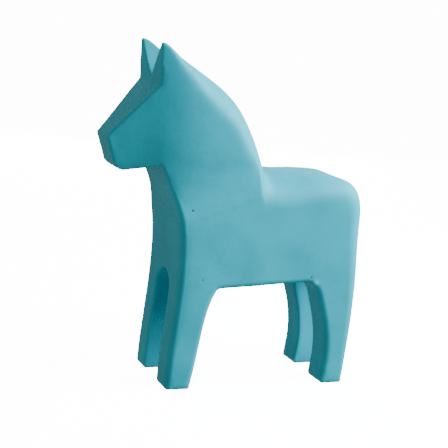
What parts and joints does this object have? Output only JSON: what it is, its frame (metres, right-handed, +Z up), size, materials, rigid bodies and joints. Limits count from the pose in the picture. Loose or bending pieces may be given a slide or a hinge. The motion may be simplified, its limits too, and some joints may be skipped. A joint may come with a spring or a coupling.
{
  "type": "wooden dala horse figurine",
  "caption": "Standing carved wooden horse with a blocky body, thick legs, short pointed ears and a plain turquoise painted finish.",
  "frame": {"origin": "bottom centre of the bounding box, on the plane that the four soles stand on", "axes": "+Z up, the horse faces -X, +Y is the horse's right side, and Y = 0 is its plane of symmetry"},
  "size_m": [0.1602, 0.0588, 0.2008],
  "materials": {
    "pine": "bare, sanded at the soles",
    "wood_glue": "dried wood glue",
    "turquoise_paint": "satin brushed paint"
  },
  "bodies": {
    "root": {"left_board": "pine", "glue_line_left": "wood_glue", "centre_board": "pine", "glue_line_right": "wood_glue", "right_board": "pine", "paint_coat": "turquoise_paint"}
  },
  "joints": []
}
